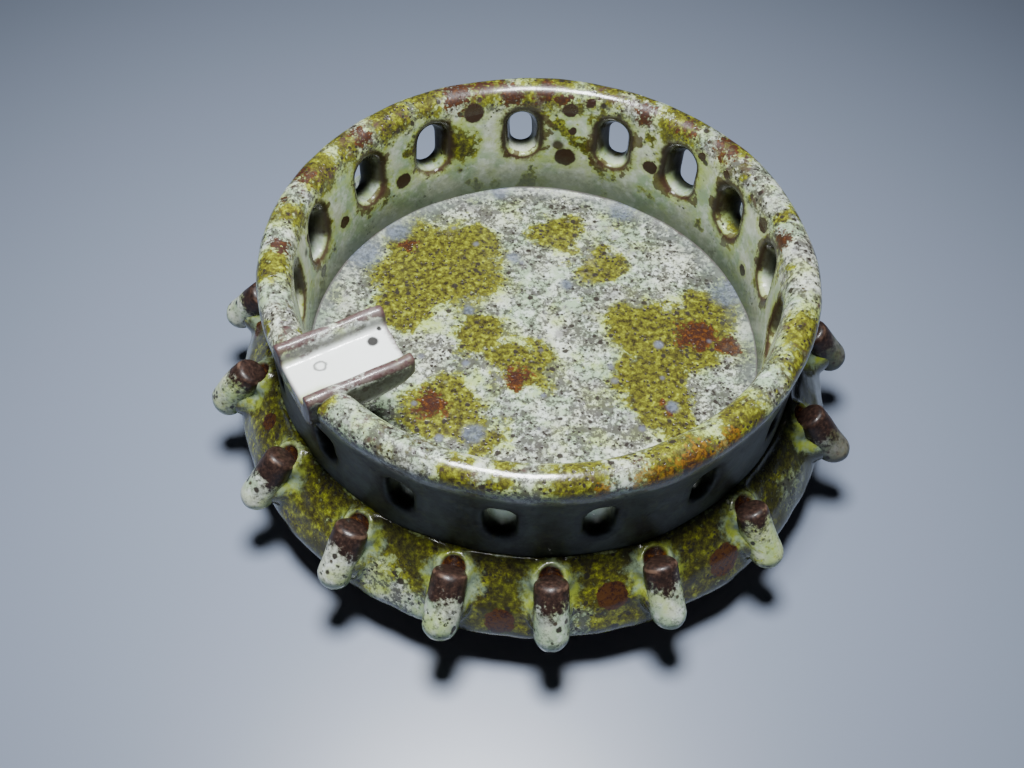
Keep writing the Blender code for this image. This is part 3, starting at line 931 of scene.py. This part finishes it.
def shoulder_glaze():
    """Yellow-green over dark olive, pale on the humps, amber and brown glass in the pits."""
    r = Recipe("shoulder_glaze")
    bend = r.attribute("bend")
    grain = r.cloud(1.0, 4, 0.7, shift=71)
    pale = r.marks(r.warped(5, 4), SHOULDER_PALE, 0.4)
    drift = r.ease(r.cloud(6, 3, shift=12), 0.45, 0.62)
    olive = 0.72 - pale * 0.6 + drift * 0.3 - r.ease(bend, 0.05, 0.2) * 0.35
    edges = r.ease(bend, 0.22, 0.4) * 0.5
    colour, dark = glaze_layers(r, olive, edges, 0.38 + pale * 0.4, dark_edge=SHOULDER_EDGE)

    # Moss in patches and on the right-hand side
    moss = r.ease(r.cloud(5.5, 5, 0.65, shift=83), 0.48, 0.62)
    colour = r.blend(moss * (1 - pale) * 0.7, colour, MOSS_SHADE)
    patch = r.ease(r.cloud(11, 3, shift=86), 0.50, 0.62)
    colour = r.blend(patch * (1 - pale) * 0.5, colour, MOSS_DARK)
    side = r.ease(r.right + (r.cloud(6, 4, 0.65, shift=87) - 0.5) * 50, 40, 66)
    colour = r.blend(side * 0.75, colour, SIDE_MOSS)

    # Round the pegs: pale humps, brown blots and amber glass in the pits
    hump = r.ease(r.attribute("hump") + (r.cloud(2.5, 5, 0.7, shift=84) - 0.5) * 1.3, 0.30, 0.75)
    hump_colour = r.blend(r.ease(r.cloud(4, 3, shift=85), 0.42, 0.6), MINT, HUMP_LIME)
    colour = r.blend(hump * 0.72, colour, hump_colour)
    brown = r.marks(r.warped(2.5, 2.5), SHOULDER_BROWN, 0.35)
    burnt = r.ramp(grain, (0.40, IRON), (0.55, BLOT_BROWN), (0.68, RUST))
    colour = r.blend(r.ease(brown + (grain - 0.5) * 0.7, 0.4, 0.6), colour, burnt)
    amber = r.ramp(grain, (0.40, IRON), (0.52, RUST), (0.64, AMBER))
    colour = r.blend(r.ease(r.attribute("pit"), 0.25, 0.6), colour, amber)
    bare = r.ease(r.height + (r.cloud(5, 3, shift=90) - 0.5) * 2, 11.4, 10.6)
    colour = r.blend(bare, colour, CLAY)
    return gloss(r, colour, dark, bare)


def peg_glaze():
    """Dark brown below the cut end, whose bevel shows a thin broken tan edging, partly a painted highlight,
    then pale and sparsely speckled.
    """
    r = Recipe("peg_glaze")
    along = r.attribute("along")
    tone = r.attribute("tone")
    grain = r.cloud(0.9, 4, 0.7, shift=71)
    edge = along + (r.cloud(3.4, 4, 0.65, shift=3) - 0.5) * 11 + (tone - 0.5) * 5 + (grain - 0.5) * 9
    tip = r.ease(edge, 3.6, 7.0) * (1 - r.ease(r.right, 62, 74) * 0.8)
    colour, dark = glaze_layers(r, r.ease(tone, 0.5, 0.95) * 0.5, bare_edges=0.0, speckle=0.30)
    dots = r.specks(2.6, 0.75, 0.35, 0.75, r.warped(0.6, 1.5), 16)
    colour = r.blend(dots * 0.92, colour, PEG_DOT)
    colour = r.blend(tip, r.ramp(grain, *PEG_BROWNS), colour)
    broken = r.ease(r.cloud(3.5, 2, shift=77), 0.46, 0.60)
    # A broken tan edging on the bevel of the cut end, partly painted highlight where the bevel catches the
    # lamp
    tan_edging_and_highlight = r.ease(along, 0.3, 0.6) * r.ease(along, 1.3, 0.9) * broken
    colour = r.blend(tan_edging_and_highlight * 0.4, colour, PEG_TAN_AND_HIGHLIGHT)
    return gloss(r, colour, dark * tip, 1 - tip, coat=0.08)


def rest_glaze():
    """Thick white glaze in the groove, breaking to purple-brown on the ridges."""
    r = Recipe("rest_glaze")
    bend = r.attribute("bend")
    groove = r.attribute("groove")
    across = r.attribute("across")
    run = r.attribute("run")
    outside = 1 - groove
    yellow = r.ease(across, 0.0, 6.0) * r.ease(run, 50, 60)
    olive = yellow * groove * 0.45 + outside * 0.16
    ridge = r.ease(bend, 0.03, 0.20) * outside
    colour, dark = glaze_layers(r, olive, ridge * 0.95, outside * 0.75 - 0.2, pale=(CREAM, MILK))
    colour = r.blend(groove * 0.8 * (1 - r.ease(olive, 0.1, 0.4)), colour, GROOVE_WHITE)

    # Painted shade on the sides under the ridges, and purple-brown at both ends
    low = r.ease(r.height + (r.cloud(2.2, 4, 0.65, shift=62) - 0.5) * 3, 59.0, 57.2) * outside
    colour = r.blend(low * 0.88, colour, REST_UNDER_SHADE)
    nose = r.ease(run + (r.cloud(1.6, 3, shift=63) - 0.5) * 2, REST_START + 1.5, REST_START + 0.2)
    ends = nose | r.ease(run, REST_STOP - 1.0, REST_STOP)
    colour = r.blend(ends * 0.8, colour, PURPLE_BROWN)
    colour = r.blend(dark * 0.5, colour, PURPLE_BROWN)

    # A burst bubble's ring and a few dots in the groove
    wobbly = r.warped(0.8, 1.6)
    ring = r.marks(wobbly, REST_RING, 0.15) - r.marks(wobbly, REST_RING_HOLE, 0.3)
    marks = ring * 0.75 | r.marks(wobbly, REST_DOTS, 0.25)
    colour = r.blend(marks * 0.97, colour, RING_BLACK)
    return gloss(r, colour, dark, outside)


def bare_clay():
    """Fired clay without glaze: toothy, with grog and a darker lick of flame."""
    r = Recipe("bare_clay")
    lick = r.ease(r.cloud(16, 4, 0.6, shift=3), 0.4, 0.62)
    colour = r.blend(lick, CLAY, CLAY_SCORCHED)
    grog = r.specks(1.4, 0.45, 0.15, 0.45, r.warped(0.4, 1.0), 2)
    colour = r.blend(grog * 0.6, colour, GROG)
    return r.apply(colour, 0.72 + lick * 0.12, r.cloud(0.5, 4, 0.7) - grog * 0.2, depth=0.1)


def table_top():
    """A plain matt table, pale blue-grey."""
    made = bpy.data.materials.new("table_top")
    made.use_nodes = True
    skin = made.node_tree.nodes["Principled BSDF"]
    skin.inputs["Base Color"].default_value = (0.175, 0.205, 0.27, 1)
    skin.inputs["Roughness"].default_value = 0.33
    return made


def set_camera():
    """A camera above the front of the dish, looking down at its floor and turned a little."""
    slope = math.radians(52.5)
    roll = math.radians(-2.16)
    distance = 318.77
    aim = Vector((-5.18, 8.46, -3.0))
    back = Vector((0, -math.cos(slope), math.sin(slope)))
    right = Vector((1, 0, 0))
    above = back.cross(right)
    across = right * math.cos(roll) - above * math.sin(roll)
    upward = right * math.sin(roll) + above * math.cos(roll)
    lens = bpy.data.cameras.new("camera")
    lens.lens = 40.43
    lens.sensor_width = 36.0
    lens.clip_start = 0.01
    eye = bpy.data.objects.new("camera", lens)
    bpy.context.scene.collection.objects.link(eye)
    turn = Matrix((across, upward, back)).transposed().to_4x4()
    eye.matrix_world = Matrix.Translation((aim + back * distance) * MM) @ turn
    bpy.context.scene.camera = eye


def set_table():
    """A plain table top under the dish."""
    bm = bmesh.new()
    bmesh.ops.create_grid(bm, x_segments=1, y_segments=1, size=1.6)
    table = solid("table", bm)
    table.data.materials.append(table_top())


def set_lights():
    """One soft lamp overhead and a dim room."""
    lamp = bpy.data.lights.new("softbox", "AREA")
    lamp.shape = "DISK"
    lamp.size = 0.125
    lamp.spread = math.radians(108)
    lamp.energy = 1.75
    lamp.color = (0.96, 0.98, 1.0)
    hung = bpy.data.objects.new("softbox", lamp)
    hung.location = (-0.02, -0.025, 0.42)
    bpy.context.scene.collection.objects.link(hung)
    room = bpy.data.worlds.new("room")
    room.use_nodes = True
    sky = room.node_tree.nodes["Background"]
    sky.inputs["Color"].default_value = (0.75, 0.82, 1.0, 1)
    sky.inputs["Strength"].default_value = 0.030
    bpy.context.scene.world = room


MATERIALS = {
    "wall": wall_glaze("wall_glaze", coat=0.0),
    "rim": wall_glaze("rim_glaze", coat=0.35),
    "rest": rest_glaze(),
    "shoulder": shoulder_glaze(),
    "peg": peg_glaze(),
    "floor": floor_glaze(),
    "clay": bare_clay(),
}

set_camera()
set_table()
set_lights()
make_foot()
make_base()
make_wall_and_rim()
make_shoulder()
make_rest()
make_pegs()
